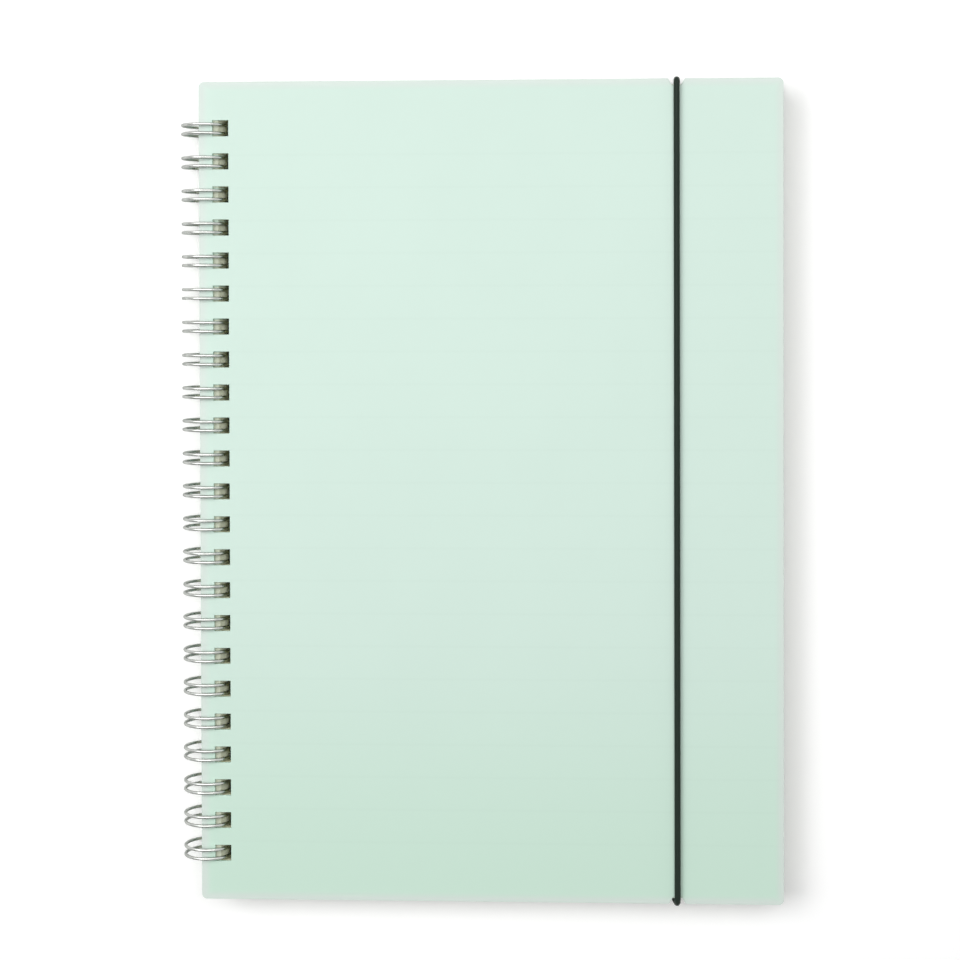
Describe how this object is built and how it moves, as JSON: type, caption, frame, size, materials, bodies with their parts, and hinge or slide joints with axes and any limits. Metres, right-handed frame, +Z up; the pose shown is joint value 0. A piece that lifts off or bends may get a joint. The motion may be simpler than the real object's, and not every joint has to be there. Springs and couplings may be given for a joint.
{
  "type": "twin-loop wire-bound notebook",
  "caption": "Notebook with frosted plastic covers on a twin-loop wire binding, a block of square-punched pages and a round elastic that holds it shut.",
  "frame": {"origin": "on the table plane under the middle of the part's bounding box, with the notebook lying on its back cover", "axes": "+X from the spine to the fore edge, +Y from the tail edge to the head edge, +Z up out of the front cover"},
  "size_m": [0.1544, 0.211, 0.0127],
  "materials": {
    "cover_pp": "satin",
    "paper": "matte",
    "wire": "polished",
    "elastic": "matte",
    "barb": "satin"
  },
  "bodies": {
    "pages": {"page_block": "paper", "twin_loop_wire": "wire"},
    "front": {"front_cover": "cover_pp"},
    "back": {"back_cover": "cover_pp", "elastic_band": "elastic", "head_barb": "barb", "tail_barb": "barb"}
  },
  "joints": [
    {"name": "front_cover_hinge", "type": "hinge", "parent": "pages", "child": "front", "pos_m": [-0.07112, 0, 0.0067], "axis": [0, -1, 0], "range_deg": [0, 180], "deforming": ["elastic_band"]},
    {"name": "back_cover_hinge", "type": "hinge", "parent": "pages", "child": "back", "pos_m": [-0.07112, 0, 0.006], "axis": [0, 1, 0], "range_deg": [0, 180], "deforming": ["elastic_band"]}
  ]
}
